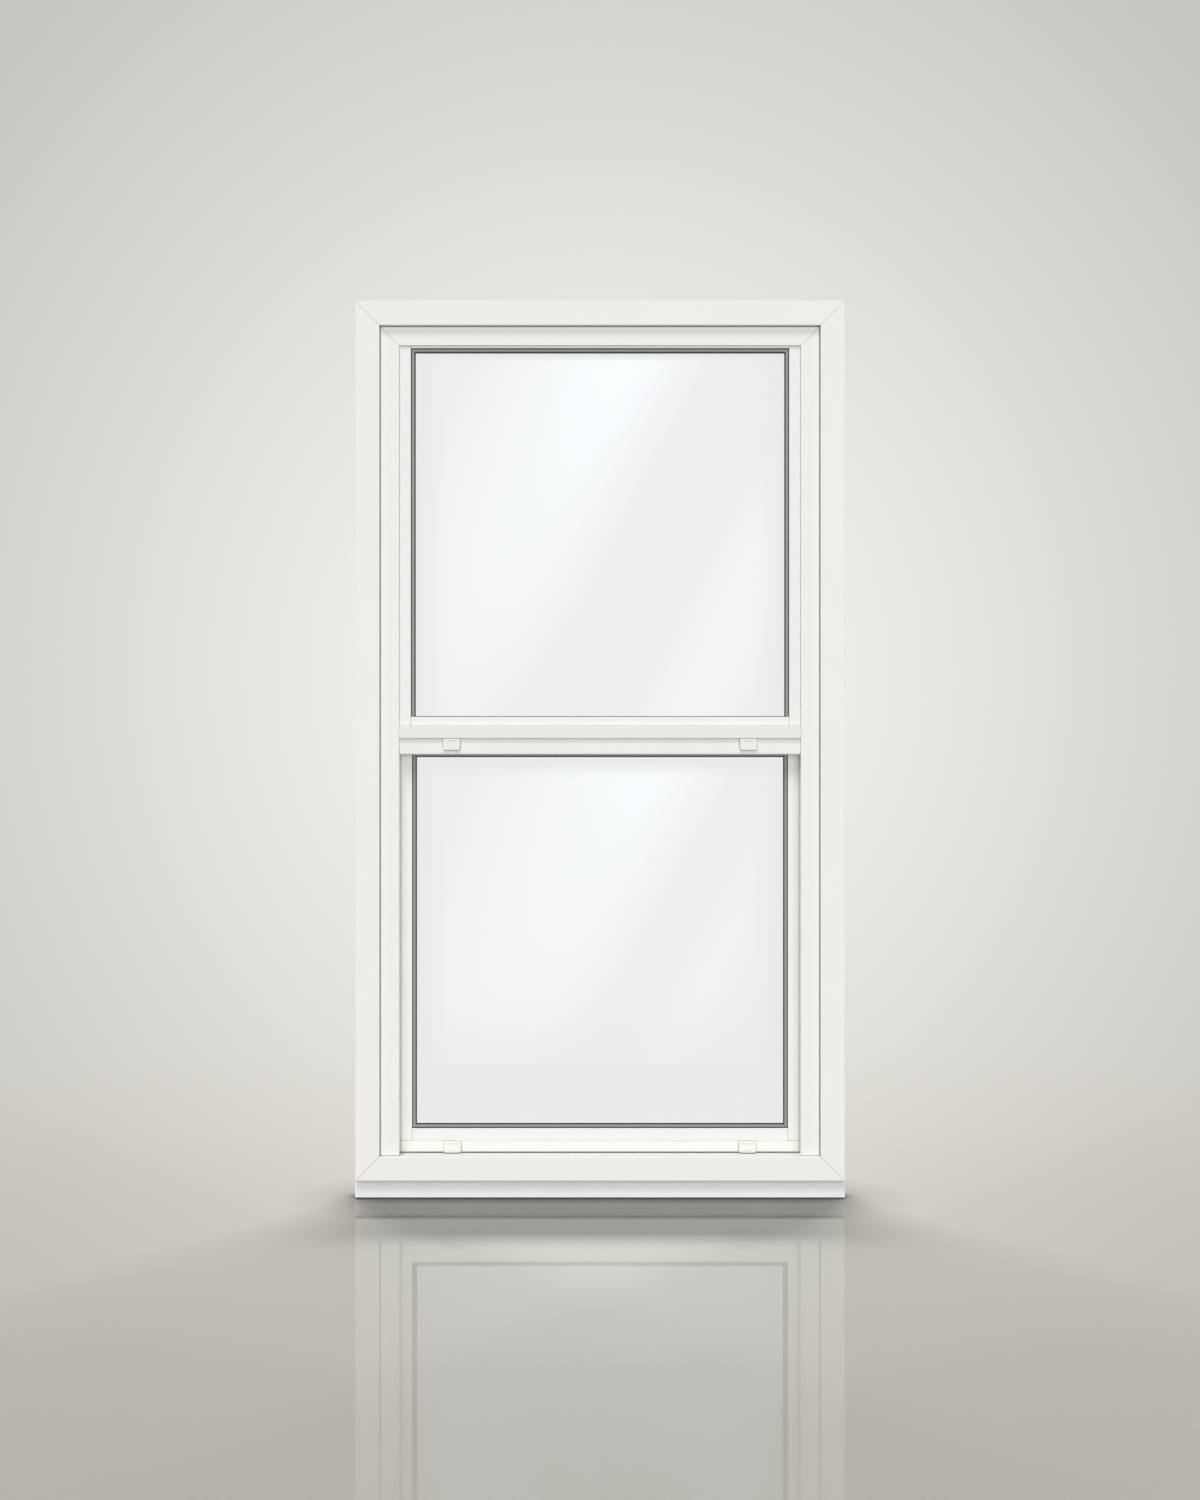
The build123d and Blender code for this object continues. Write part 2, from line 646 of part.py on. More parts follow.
def sash(name, y, base, top, ports, rail, nosing):
    """All the pieces of one sash, by node name; rail holds the bottom rail's own sizes."""
    foot, rise, cover, lip = rail
    shoulder = base + foot + LATCH_BAND + rise
    floor = shoulder + PORT_BOX
    ceiling = top - TOP_RAIL_HEIGHT + POCKET_DEPTH
    stile = left_stile(y, shoulder + JOINT_GAP, top, ports)
    pile = stile_pile(y, shoulder + JOINT_GAP, top)
    screws = [corner_screw(y, z) for z in ports]
    stop = spring_stop(y, base + foot)
    spring = latch_spring(y, base + foot)
    bolt = latch(y, base + foot)
    pieces = {
        "left_stile": stile,
        "right_stile": flipped(stile),
        "top_rail": top_rail(y, top - TOP_RAIL_HEIGHT, nosing),
        "bottom_rail": bottom_rail(y, base, foot, rise, cover, lip),
        "glass": glass(y, floor, ceiling),
        "gasket": gasket(y, floor, ceiling),
        "screws": screws + [flipped(screw) for screw in screws],
        "pile": [pile, flipped(pile)],
        "spring_stops": [stop, flipped(stop)],
        "left_spring": flipped(spring),
        "right_spring": spring,
        "left_latch": flipped(bolt),
        "right_latch": bolt,
    }
    return {f"{name}_{piece}": shape for piece, shape in pieces.items()}


def window():
    """Every piece of the window, by node name."""
    jamb = left_jamb()
    pieces = {
        "head": head(),
        "left_jamb": jamb,
        "right_jamb": flipped(jamb),
        "sill": sill(),
        "corner_keys": corner_keys(),
        "sill_expander": sill_expander(),
    }
    meeting_rail = (MEETING_FOOT, MEETING_RISE, GASKET_SHOW - GASKET_PEEK, True)
    meeting_port = meeting_band + port_level + MEETING_RISE
    upper_ports = (meeting_port, upper_top - top_port)
    pieces |= sash("upper", upper_y, meeting_base, upper_top, upper_ports, meeting_rail, False)
    lower_ports = (lower_base + port_level, lower_top - top_port)
    pieces |= sash("lower", lower_y, lower_base, lower_top, lower_ports, (0, 0, 0, False), True)
    pieces["lower_pile"] += [meeting_pile(), foot_pile()]
    return pieces


def write_parts():
    os.makedirs("parts", exist_ok=True)
    for name, shape in window().items():
        solids = shape if isinstance(shape, list) else [shape]
        whole = Compound(children=[Solid(s.wrapped) for piece in solids for s in piece.solids()])
        export_step(whole, f"parts/{name}.step")


write_parts()
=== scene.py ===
import math
import random

import bmesh
import bpy
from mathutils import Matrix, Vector


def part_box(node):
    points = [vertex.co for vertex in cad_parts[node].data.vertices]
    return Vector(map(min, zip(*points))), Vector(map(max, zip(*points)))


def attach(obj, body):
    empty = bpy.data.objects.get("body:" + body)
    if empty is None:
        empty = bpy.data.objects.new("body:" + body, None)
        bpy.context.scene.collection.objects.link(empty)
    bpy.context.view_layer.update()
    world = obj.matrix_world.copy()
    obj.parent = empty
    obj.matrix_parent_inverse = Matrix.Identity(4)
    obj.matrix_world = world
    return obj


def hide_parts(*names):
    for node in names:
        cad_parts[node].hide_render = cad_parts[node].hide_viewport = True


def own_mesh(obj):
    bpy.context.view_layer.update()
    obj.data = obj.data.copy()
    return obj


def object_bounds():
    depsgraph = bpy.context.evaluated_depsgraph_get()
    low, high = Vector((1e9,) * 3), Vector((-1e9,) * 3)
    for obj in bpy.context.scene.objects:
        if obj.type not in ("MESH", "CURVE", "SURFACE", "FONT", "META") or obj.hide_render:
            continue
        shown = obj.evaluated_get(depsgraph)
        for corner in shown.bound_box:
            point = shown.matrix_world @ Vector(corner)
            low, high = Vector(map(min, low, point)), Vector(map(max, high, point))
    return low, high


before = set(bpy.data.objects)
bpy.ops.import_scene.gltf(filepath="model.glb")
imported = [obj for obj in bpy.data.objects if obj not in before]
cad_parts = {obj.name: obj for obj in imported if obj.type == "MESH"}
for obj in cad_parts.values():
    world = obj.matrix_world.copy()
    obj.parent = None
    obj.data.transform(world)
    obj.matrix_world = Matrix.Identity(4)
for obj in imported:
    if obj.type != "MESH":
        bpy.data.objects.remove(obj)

bl_info = {
    "name": "Storm Window Finish",
    "version": (1, 0, 0),
    "blender": (4, 5, 0),
    "location": "3D View > Sidebar > Storm Window",
    "description": "Finishes, brush pile, latch springs and stage of a double-hung storm window",
    "category": "Object",
}

CAD_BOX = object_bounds()
MM = 0.001
X, Y, Z = 0, 1, 2
MIDDLE = 0.5
SASHES = ("upper", "lower")
SIDES = ("left", "right")

# Node settings that come up again and again
BLEND = {"data_type": "RGBA"}
TINT = {"data_type": "RGBA", "blend_type": "MULTIPLY"}
SOFT_STEP = {"interpolation_type": "SMOOTHSTEP"}

# Stretch that draws an extrusion's lines along a level bar and along an upright one
LEVEL, UPRIGHT = (0.02, 1, 1), (1, 1, 0.02)

# Painted shade in corners: open share of its surroundings at which a corner is painted darkest, and
# at which it is left unshaded
DARKEST_CORNER, UNSHADED_CORNER = 0.3, 0.9
# Share of its tone that each finish keeps where the painted corner shade is darkest
COAT_SHADE, VINYL_SHADE, NYLON_SHADE = 0.25, 0.35, 0.4
CORNER_SAMPLES, EDGE_SAMPLES = 8, 4

# Tufts: lean of the tips as a share of half a tuft, unevenness as a share of their length, and the
# seed of both
TUFT_LEAN, TUFT_UNEVENNESS, TUFT_SEED = 0.8, 0.2, 7
WELD = 0.01 * MM
BEND_SEGMENTS, ROUND_BEND = 5, 0.5

# Suns that light the window and not the floor: degrees to the camera's right and above the floor,
# strength in watts per square metre, and width in degrees
SUNS = {
    "key": (-16, 62, 1.64, 18),
    "fill": (8, 2, 1.41, 50),
    "back_fill": (172, 8, 1.6, 30),
    "left_side": (-100, 12, 0.8, 20),
    "right_side": (100, 12, 0.8, 20),
}
SUN_REACH = 3.0
# Wide lamp behind the window that lights the floor alone: degrees as above, and reach in metres
WASH_PLACE = (180, 23, 12.0)
WASH = {"energy": 5300, "shape": "RECTANGLE", "size": 16.0, "size_y": 1.4}

# Glow on the backdrop, in view directions: squeeze across, shift to its middle, and reach
GLOW_SQUEEZE, GLOW_SHIFT, GLOW_REACH = (1.07, 0, 1), (0, 0, -0.041), 0.43
# View directions over which a pane changes from the backdrop itself to a pale tone
REARWARD = {"From Min": -0.2, "From Max": 0.2}
NOT_STEEP = {"From Min": -0.45, "From Max": -0.24}
MIRRORED_BACKDROP, AMBIENT = 0.75, 0.32

# Floor, in metres: squeeze across, shift to the middle of the sweep, and where each tone gives way
SWEEP_SQUEEZE, SWEEP_SHIFT = (1.6, 1, 1), (0, -0.6, 0)
SWEEP_TO_FLOOR = {"From Min": 0.5, "From Max": 1.65}
ROUND_FADE = {"From Min": 2.4, "From Max": 6.0}
BACK_FADE = {"From Min": 0.1, "From Max": 1.5}
# Painted contact shadow: tone and mirror of the floor by the open share above it, close to the foot
# of the window
CONTACT_SHADOW_TONE = {"From Min": 0.45, "To Min": 0.2}
CONTACT_SHADOW_MIRROR = {"From Min": 0.5, "From Max": 0.76, "To Min": 0.04, "To Max": 0.5}
FLOOR_SEGMENTS, FLOOR_GAP = 64, 1 * MM

# Softbox in front of each pane: share of its light left at the bottom, share of its height where it
# starts to die away at the top, then its bright bands, each with foot, crest and far foot as shares
# of the width and the strength at the bottom and at the top
SOFTBOXES = {
    "upper": {"dusk": 0.9, "head": 0.945,
              "bands": ((-0.38, 0.10, 0.34, 0.7, 3.8), (0.52, 0.72, 0.91, 1.6, 1.6))},
    "lower": {"dusk": 0.4, "head": 0.915,
              "bands": ((-0.38, 0.17, 0.41, 0.3, 3.2), (0.42, 0.58, 0.74, 0.9, 0.3))},
}
# The same for both: strength between the bands, their slant, and shares where the edges are dark
# and lit
CLOTH_GLOW, BAND_SLANT = 1.2, -0.5
SIDE_EDGE = {"From Min": 0.49, "From Max": 0.38}
TOP_EDGE = {"From Min": 0.968}
BOTTOM_EDGE = {"From Min": 0.08, "From Max": 0.4}


def linear(code, alpha=None):
    """Linear RGB, or RGBA, of an sRGB hex code such as #F3F2ED."""
    shares = [int(code[i:i + 2], 16) / 255 for i in (1, 3, 5)]
    rgb = [s / 12.92 if s <= 0.04045 else ((s + 0.055) / 1.055) ** 2.4 for s in shares]
    return tuple(rgb) if alpha is None else (*rgb, alpha)


# Settings that a user would change
def colour(name, description, code):
    """Colour property with an sRGB hex code as its default."""
    return bpy.props.FloatVectorProperty(
        name=name, description=description, default=linear(code), subtype="COLOR", size=3,
        min=0, max=1)


def length(name, description, default_mm):
    """Length property with its default in millimetres."""
    return bpy.props.FloatProperty(
        name=name, description=description, default=default_mm * MM, min=0, unit="LENGTH",
        precision=5)


class FinishSettings(bpy.types.PropertyGroup):
    """Colours and surface sizes of the window's materials."""

    paint: colour("Paint", "Powder coat on the frame and the sashes", "#F0EFEB")
    expander_paint: colour("Expander paint", "Powder coat on the sill expander", "#EDEEEE")
    nylon: colour("Nylon", "Moulded finger latches", "#F0EFEA")
    vinyl: colour("Vinyl", "Glazing gasket", "#9C9E9F")
    pile: colour("Pile", "Brush weatherstrip", "#8E8C88")
    glass: colour("Glass", "Tint of the panes", "#F8FBFA")
    coat_cloud: length("Coat cloud", "Width of the faint clouds in the baked coat", 90)
    orange_peel: length("Orange peel", "Distance between the crests of the baked coat", 2.2)
    die_line: length("Die line", "Distance between the drawing lines of an extrusion", 1.4)
    draw_wave: length("Draw wave", "Length of the slow waves in the panes", 240)
    vinyl_streak: length("Vinyl streak", "Width of the die's streaks on the gasket", 3)
    spark_grain: length("Spark grain", "Grain of the latches' spark-eroded mould", 0.6)
    fibre_tone: length("Fibre tone", "Distance over which the pile turns lighter or darker", 0.8)
    edge: length("Edge", "Radius that the coat gives to a sharp edge", 0.35)
    # Reach of the painted shade that darkens inside corners and joints
    corner_shade: length("Corner dust", "Reach of the fine dust in inside corners and joints", 2.4)
    # Reach of the painted shadow that darkens the expander below the sill's overhang
    overhang_shade: length("Overhang dust", "Reach of the dust on the expander under the sill", 24)


class BrushSettings(bpy.types.PropertyGroup):
    """Sizes of the pile strips and the latch springs."""

    tuft_spacing: length("Tuft spacing", "Distance between neighbouring tufts", 0.8)
    tuft_width: length("Tuft width", "Width of a tuft at its root", 0.7)
    backing: length("Backing", "Thickness of the strip that holds the tufts", 0.45)
    slot_backing: length("Slot backing", "Thickness of the strip inside a stile's slot", 1.4)
    slot_mouth: length("Slot mouth", "Width of the pile that comes out of a stile's slot", 2.7)
    spring_strip: length("Spring strip", "Thickness of a latch spring", 0.5)
    spring_bend: length("Spring bend", "Length of leg that each bend takes up", 1.6)


class StageSettings(bpy.types.PropertyGroup):
    """Camera, floor, backdrop and panels."""

    camera_distance: length("Camera distance", "From the lens to the face of the frame", 3000)
    camera_height: length("Camera height", "Lens above the floor", 743)
    picture_height: length("Picture height", "Height in the picture at the frame's face", 2481)
    floor_radius: length("Floor radius", "Reach of the floor", 7000)
    # Reach of the painted contact shadow under the window
    contact_shade: length("Contact shade", "Reach of the shade under the window", 130)
    floor: colour("Floor", "Polished pale floor in front of the window", "#AFAAA4")
    sweep: colour("Sweep", "Floor behind the window", "#BAB7B1")
    backdrop_middle: colour("Backdrop middle", "Backdrop behind the window", "#FFFCF7")
    backdrop_edge: colour("Backdrop edge", "Backdrop at the sides", "#C9C7C2")
    behind_glass: colour("Behind glass", "Backdrop as the panes let it through", "#F3F2F4")
    soft_light: colour("Soft light", "Light that comes from all round", "#FFFEFC")
    softbox: colour("Softbox", "Panels that the panes mirror", "#E8F0F8")
    softbox_distance: length("Softbox distance", "From the panels to the window's middle", 1250)


# Node and mesh helpers
def fill(tree, made, inputs):
    """Give inputs of a node a value, an output, or the first output in use of another node."""
    for socket, value in inputs.items():
        if isinstance(value, bpy.types.Node):
            value = next(output for output in value.outputs if output.enabled)
        if isinstance(value, bpy.types.NodeSocket):
            tree.links.new(value, made.inputs[socket])
        else:
            made.inputs[socket].default_value = value


def node(tree, kind, inputs=None, **settings):
    """Add a node, set its own settings, then fill its inputs."""
    made = tree.nodes.new(kind)
    for name, value in settings.items():
        setattr(made, name, value)
    fill(tree, made, inputs or {})
    return made


def empty_tree(owner):
    """Node tree of a material or a world, with nothing in it."""
    owner.use_nodes = True
    owner.node_tree.nodes.clear()
    return owner.node_tree


def new_material(name):
    """Material with a Principled shader on its output."""
    material = bpy.data.materials.new(name)
    tree = empty_tree(material)
    shader = node(tree, "ShaderNodeBsdfPrincipled")
    node(tree, "ShaderNodeOutputMaterial", {"Surface": shader})
    return material, tree, shader


def clear_by(tree, shader, share, tint=(1, 1, 1)):
    """Let what lies behind a surface show through it by a share."""
    clear = node(tree, "ShaderNodeBsdfTransparent", {"Color": (*tint, 1)})
    mixed = node(tree, "ShaderNodeMixShader", {0: share, 1: shader, 2: clear})
    output = next(made for made in tree.nodes if made.type == "OUTPUT_MATERIAL")
    fill(tree, output, {"Surface": mixed})


def dress(material, *nodes):
    """Give CAD nodes their finish."""
    for name in nodes:
        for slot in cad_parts[name].material_slots:
            slot.material = material


def new_piece(name, vertices, faces, material, body, slot):
    """Mesh piece that rides on a body."""
    mesh = bpy.data.meshes.new(name)
    mesh.from_pydata(vertices, [], faces)
    mesh.validate()
    mesh.materials.append(material)
    piece = bpy.data.objects.new(name, mesh)
    bpy.context.scene.collection.objects.link(piece)
    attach(piece, body)
    return piece


# Materials
def corner_shaded(tree, rgb, tone, reach, deepest):
    """Colour times a tone, with painted shade that darkens inside corners, joints and the parts
    under overhangs.
    """
    corner = node(tree, "ShaderNodeAmbientOcclusion", {"Distance": reach}, samples=CORNER_SAMPLES)
    shading = node(tree, "ShaderNodeMapRange", {
        "Value": corner.outputs["AO"], "From Min": DARKEST_CORNER, "From Max": UNSHADED_CORNER,
        "To Min": deepest})
    shade = node(tree, "ShaderNodeMath", {0: tone, 1: shading}, operation="MULTIPLY")
    return node(tree, "ShaderNodeMix", {"Factor": 1, "A": (*rgb, 1), "B": shade}, **TINT)


def powder_coated_aluminium(name, rgb, finish, run, reach):
    """Polyester powder baked on extruded aluminium: a soft, even sheen with a faint orange peel.

    The extrusion's drawing lines run along the bar and just show through the coat. Peel and lines
    are drawn coarser and deeper than real ones so that they show at arm's length.
    """
    faint_clouds = {"From Min": 0.3, "From Max": 0.7, "To Min": 0.985}
    satin = {"To Min": 0.34, "To Max": 0.46}
    line_relief = {"Strength": 0.05, "Distance": 0.1 * MM}
    peel_relief = {"Strength": 0.22, "Distance": 0.1 * MM}
    material, tree, shader = new_material(name)
    place = node(tree, "ShaderNodeTexCoord").outputs["Object"]
    cloud = node(tree, "ShaderNodeTexNoise", {
        "Vector": place, "Scale": 1 / finish.coat_cloud, "Detail": 3})
    tone = node(tree, "ShaderNodeMapRange", {"Value": cloud, **faint_clouds})
    peel = node(tree, "ShaderNodeTexNoise", {
        "Vector": place, "Scale": 1 / finish.orange_peel, "Detail": 1})
    sheen = node(tree, "ShaderNodeMapRange", {"Value": peel, **satin})
    drawn = node(tree, "ShaderNodeVectorMath", {0: place, 1: run}, operation="MULTIPLY")
    lines = node(tree, "ShaderNodeTexNoise", {
        "Vector": drawn, "Scale": 1 / finish.die_line, "Detail": 2})
    edge = node(tree, "ShaderNodeBevel", {"Radius": finish.edge}, samples=EDGE_SAMPLES)
    line_bump = node(tree, "ShaderNodeBump", {"Height": lines, "Normal": edge, **line_relief})
    peel_bump = node(tree, "ShaderNodeBump", {"Height": peel, "Normal": line_bump, **peel_relief})
    # Painted shade: the coat darkens in inside corners and joints, within the given reach
    paint = corner_shaded(tree, rgb, tone, reach, COAT_SHADE)
    fill(tree, shader, {"Base Color": paint, "Roughness": sheen, "Normal": peel_bump, "IOR": 1.5})
    return material


def float_glass(finish):
    """Clear float glass, fire polished: a sharp mirror, with slow waves that bend what it shows."""
    wave_relief = {"Strength": 0.02, "Distance": 1 * MM}
    material, tree, shader = new_material("float_glass")
    place = node(tree, "ShaderNodeTexCoord").outputs["Object"]
    wave = node(tree, "ShaderNodeTexNoise", {
        "Vector": place, "Scale": 1 / finish.draw_wave, "Detail": 0})
    bump = node(tree, "ShaderNodeBump", {"Height": wave, **wave_relief})
    fill(tree, shader, {"Base Color": (*finish.glass, 1), "Roughness": 0, "IOR": 1.52,
                        "Transmission Weight": 1, "Normal": bump})
    # Light goes straight through a pane, so lamps reach what stands behind it
    clear_by(tree, shader, node(tree, "ShaderNodeLightPath").outputs["Is Shadow Ray"], finish.glass)
    return material


def extruded_vinyl(finish):
    """Flexible vinyl from the die: waxy, faintly streaked, with painted shade that keeps its crest
    paler than its flanks.

    The painted shade darkens the bead towards both of its flanks, so that it reads as a rounded
    bead.
    The streaks are drawn coarser than real ones so that they show.
    """
    # Painted shade on the bead's flanks, by the distance from the middle of the bead, as a share of
    # its depth
    shaded_flanks = {"From Min": 0.34, "From Max": 0.5, "To Min": 0.04}
    waxy = {"To Min": 0.32, "To Max": 0.48}
    streak_relief = {"Strength": 0.1, "Distance": 0.1 * MM}
    material, tree, shader = new_material("extruded_vinyl")
    place = node(tree, "ShaderNodeTexCoord").outputs
    streak = node(tree, "ShaderNodeTexNoise", {
        "Vector": place["Object"], "Scale": 1 / finish.vinyl_streak, "Detail": 2})
    depth = node(tree, "ShaderNodeSeparateXYZ", {0: place["Generated"]}).outputs["Y"]
    aside = node(tree, "ShaderNodeMath", {0: depth, 1: MIDDLE}, operation="SUBTRACT")
    height = node(tree, "ShaderNodeMath", {0: aside}, operation="ABSOLUTE")
    tone = node(tree, "ShaderNodeMapRange", {"Value": height, **shaded_flanks})
    # Painted shade in the corners and joints as well
    body = corner_shaded(tree, finish.vinyl, tone, finish.corner_shade, VINYL_SHADE)
    sheen = node(tree, "ShaderNodeMapRange", {"Value": streak, **waxy})
    bump = node(tree, "ShaderNodeBump", {"Height": streak, **streak_relief})
    fill(tree, shader, {"Base Color": body, "Roughness": sheen, "Normal": bump, "IOR": 1.54})
    return material


def moulded_nylon(finish):
    """Nylon from a spark-eroded mould: matt, with a fine, even pitting.

    The pits are drawn coarser than real ones so that they show.
    """
    pitted_tone = {"To Min": 0.97}
    matt = {"To Min": 0.4, "To Max": 0.55}
    pit_relief = {"Strength": 0.15, "Distance": 0.05 * MM}
    material, tree, shader = new_material("moulded_nylon")
    place = node(tree, "ShaderNodeTexCoord").outputs["Object"]
    grain = node(tree, "ShaderNodeTexNoise", {
        "Vector": place, "Scale": 1 / finish.spark_grain, "Detail": 2})
    tone = node(tree, "ShaderNodeMapRange", {"Value": grain, **pitted_tone})
    # Painted shade darkens the latches in inside corners and joints
    body = corner_shaded(tree, finish.nylon, tone, finish.corner_shade, NYLON_SHADE)
    sheen = node(tree, "ShaderNodeMapRange", {"Value": grain, **matt})
    edge = node(tree, "ShaderNodeBevel", {"Radius": finish.edge}, samples=EDGE_SAMPLES)
    bump = node(tree, "ShaderNodeBump", {"Height": grain, "Normal": edge, **pit_relief})
    fill(tree, shader, {"Base Color": body, "Roughness": sheen, "Normal": bump, "IOR": 1.53})
    return material


def wool_pile(finish):
    """Woven polypropylene, sold as wool pile: grey fibres, each lighter or darker than the next.

    The fibres are drawn as tufts, far coarser than real ones, so that they show.
    """
    uneven_tone = {"To Min": 0.6, "To Max": 1.2}
    material, tree, shader = new_material("wool_pile")
    place = node(tree, "ShaderNodeTexCoord").outputs["Object"]
    fibre = node(tree, "ShaderNodeTexNoise", {
        "Vector": place, "Scale": 1 / finish.fibre_tone, "Detail": 1})
    tone = node(tree, "ShaderNodeMapRange", {"Value": fibre, **uneven_tone})
    body = node(tree, "ShaderNodeMix", {"Factor": 1, "A": (*finish.pile, 1), "B": tone}, **TINT)
    fill(tree, shader, {"Base Color": body, "Roughness": 0.85, "Sheen Weight": 0.4})
    return material


def bare_metal(name, code, grain_mm, smoothest, roughest):
    """Metal as cast, plated or rolled: grey, its gloss broken up by the grain of its skin.

    The grain is drawn coarser than a real one so that it shows.
    """
    grain_relief = {"Strength": 0.1, "Distance": 0.05 * MM}
    material, tree, shader = new_material(name)
    place = node(tree, "ShaderNodeTexCoord").outputs["Object"]
    grain = node(tree, "ShaderNodeTexNoise", {
        "Vector": place, "Scale": 1 / (grain_mm * MM), "Detail": 3})
    gloss = node(tree, "ShaderNodeMapRange", {
        "Value": grain, "To Min": smoothest, "To Max": roughest})
    bump = node(tree, "ShaderNodeBump", {"Height": grain, **grain_relief})
    fill(tree, shader, {
        "Base Color": linear(code, 1), "Metallic": 1, "Roughness": gloss, "Normal": bump})
    return material


# Brush pile
def islands(name):
    """Boxes of a CAD node's separate solids."""
    bm = bmesh.new()
    bm.from_mesh(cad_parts[name].data)
    bmesh.ops.remove_doubles(bm, verts=bm.verts, dist=WELD)
    left, boxes = set(bm.verts), []
    while left:
        reach, grown = [left.pop()], []
        while reach:
            vertex = reach.pop()
            grown.append(vertex.co.copy())
            for edge in vertex.link_edges:
                other = edge.other_vert(vertex)
                if other in left:
                    left.remove(other)
                    reach.append(other)
        boxes.append((Vector(map(min, *grown)), Vector(map(max, *grown))))
    bm.free()
    return sorted(boxes, key=lambda box: tuple(box[0]))


def brush_strip(low, high, settings, dice):
    """Vertices and faces of a backing strip with rows of tufts, filling a box."""
    size = high - low
    run = max((X, Y, Z), key=lambda axis: size[axis])
    # Strips in the stiles point back, one on a rail's face forward, and one under a rail down
    if run == Z:
        tip, sign = Y, 1
    elif size.y < size.z:
        tip, sign = Y, -1
    else:
        tip, sign = Z, -1
    across = ({X, Y, Z} - {run, tip}).pop()
    backing, width = settings.backing, size[across]
    if run == Z:
        backing, width = settings.slot_backing, settings.slot_mouth
    root = low[tip] if sign > 0 else high[tip]
    crown = high[tip] if sign > 0 else low[tip]
    seat = root + sign * backing

    def place(a, b, c):
        point = [0.0, 0.0, 0.0]
        point[run], point[across], point[tip] = a, b, c
        return point

    vertices = [place(a, b, c) for a in (low[run], high[run]) for b in (low[across], high[across])
                for c in (root, seat)]
    faces = [(0, 1, 3, 2), (4, 6, 7, 5), (0, 4, 5, 1), (2, 3, 7, 6), (1, 5, 7, 3), (0, 2, 6, 4)]
    half = settings.tuft_width / 2
    columns = int((size[run] - 2 * half) / settings.tuft_spacing)
    rows = max(int((width - 2 * half) / settings.tuft_spacing), 1)
    first = (low[across] + high[across] - width) / 2 + half
    for column in range(columns + 1):
        for row in range(rows + 1):
            a = low[run] + half + (size[run] - 2 * half) * column / columns
            b = first + (width - 2 * half) * row / rows
            lean = [dice.uniform(-half, half) * TUFT_LEAN for _ in range(2)]
            top = crown - sign * dice.uniform(0, TUFT_UNEVENNESS) * abs(crown - seat)
            start = len(vertices)
            vertices += [place(a - half, b - half, seat), place(a + half, b - half, seat),
                         place(a, b + half, seat), place(a + lean[0], b + lean[1], top)]
            faces += [(start, start + 1, start + 3), (start + 1, start + 2, start + 3),
                      (start + 2, start, start + 3), (start + 2, start + 1, start)]
    return vertices, faces


# Latch springs
def spring_ribbon(low, high, settings, mirrored):
    """Vertices and faces of a zigzag strip with rounded bends, filling a box."""
    half = settings.spring_strip / 2
    middle = (low.x + high.x) / 2
    path = [(low.x + half, low.z), (low.x + half, high.z), (middle, low.z), (high.x - half, high.z),
            (high.x - half, low.z)]
    if mirrored:
        path = [(low.x + high.x - x, z) for x, z in path]
    bm = bmesh.new()
    rows = [[bm.verts.new((x, y, z)) for y in (low.y, high.y)] for x, z in path]
    for (a, b), (c, d) in zip(rows, rows[1:]):
        bm.faces.new((a, b, d, c))
    bends = [edge for edge in bm.edges if len(edge.link_faces) == 2]
    bmesh.ops.bevel(bm, geom=bends, offset=settings.spring_bend, segments=BEND_SEGMENTS,
                    profile=ROUND_BEND, affect="EDGES")
    # Half the thickness goes to each side of the path
    bm.normal_update()
    for vertex in bm.verts:
        vertex.co += vertex.normal * half
    bmesh.ops.solidify(bm, geom=bm.faces[:], thickness=settings.spring_strip)
    bm.verts.index_update()
    shape = [v.co.copy() for v in bm.verts], [[v.index for v in f.verts] for f in bm.faces]
    bm.free()
    return shape


# Operators
class FrameFinish(bpy.types.Operator):
    """Coat the head, the jambs, the sill and the expander"""

    bl_idname = "storm_window.frame_finish"
    bl_label = "Frame finish"

    def execute(self, context):
        finish = context.scene.storm_finish
        # Every coat carries painted shade in its inside corners and joints
        upright = powder_coated_aluminium(
            "powder_coat_upright", finish.paint, finish, UPRIGHT, finish.corner_shade)
        level = powder_coated_aluminium(
            "powder_coat_level", finish.paint, finish, LEVEL, finish.corner_shade)
        # Its painted shade reaches far: a painted shadow of the sill on the top of the expander
        expander = powder_coated_aluminium(
            "powder_coat_expander", finish.expander_paint, finish, LEVEL, finish.overhang_shade)
        # Aluminium from a die: a dull, pebbled grey skin
        keys = bare_metal(
            "cast_aluminium", "#C4C5C8", grain_mm=1.2, smoothest=0.4, roughest=0.6)
        dress(upright, "left_jamb", "right_jamb")
        dress(level, "head", "sill")
        dress(expander, "sill_expander")
        dress(keys, "corner_keys")
        return {"FINISHED"}


class SashFinish(bpy.types.Operator):
    """Coat the stiles and rails and finish the screws of both sashes"""

    bl_idname = "storm_window.sash_finish"
    bl_label = "Sash finish"

    def execute(self, context):
        # Steel from the plating bath: a bright grey with a slight haze
        screws = bare_metal(
            "zinc_plated_steel", "#B9BBBD", grain_mm=0.8, smoothest=0.25, roughest=0.4)
        upright = bpy.data.materials["powder_coat_upright"]
        level = bpy.data.materials["powder_coat_level"]
        for sash in SASHES:
            dress(upright, f"{sash}_left_stile", f"{sash}_right_stile")
            dress(level, f"{sash}_top_rail", f"{sash}_bottom_rail")
            dress(screws, f"{sash}_screws")
        return {"FINISHED"}


class Glazing(bpy.types.Operator):
    """Finish the panes and their gaskets"""

    bl_idname = "storm_window.glazing"
    bl_label = "Glazing"

    def execute(self, context):
        finish = context.scene.storm_finish
        dress(float_glass(finish), "upper_glass", "lower_glass")
        dress(extruded_vinyl(finish), "upper_gasket", "lower_gasket")
        return {"FINISHED"}


class Latches(bpy.types.Operator):
    """Finish the finger latches and their stops"""

    bl_idname = "storm_window.latches"
    bl_label = "Latches"

    def execute(self, context):
        nylon = moulded_nylon(context.scene.storm_finish)
        for sash in SASHES:
            dress(nylon, f"{sash}_left_latch", f"{sash}_right_latch", f"{sash}_spring_stops")
        return {"FINISHED"}


